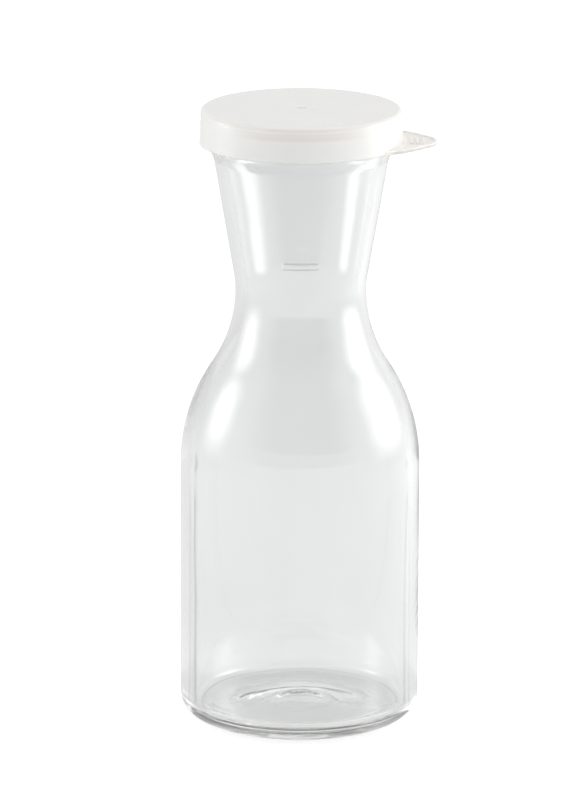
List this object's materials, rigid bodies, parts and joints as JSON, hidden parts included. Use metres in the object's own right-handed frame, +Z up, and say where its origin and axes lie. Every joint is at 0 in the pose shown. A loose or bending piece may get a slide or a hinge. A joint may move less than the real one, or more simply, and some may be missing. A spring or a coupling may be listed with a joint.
{
  "type": "carafe",
  "caption": "Clear moulded beverage carafe with a waisted neck, a raised fill mark, a foot ring and a white snap lid with a pull tab.",
  "frame": {"origin": "centre of the foot ring, on the carafe's axis, at the surface it stands on", "axes": "+Z up along the carafe's axis, -Y towards the fill mark, +X along the lid's pull tab"},
  "size_m": [0.085, 0.08, 0.2092],
  "materials": {
    "clear_plastic": "polished water-clear moulded plastic",
    "lid_plastic": "soft translucent white plastic with a satin sheen"
  },
  "bodies": {
    "carafe": {"carafe_body": "clear_plastic"},
    "lid": {"snap_lid": "lid_plastic"}
  },
  "joints": [
    {"name": "lid_lift", "type": "slide", "parent": "carafe", "child": "lid", "axis": [0, 0, 1], "range_m": [0, 0.05]}
  ]
}
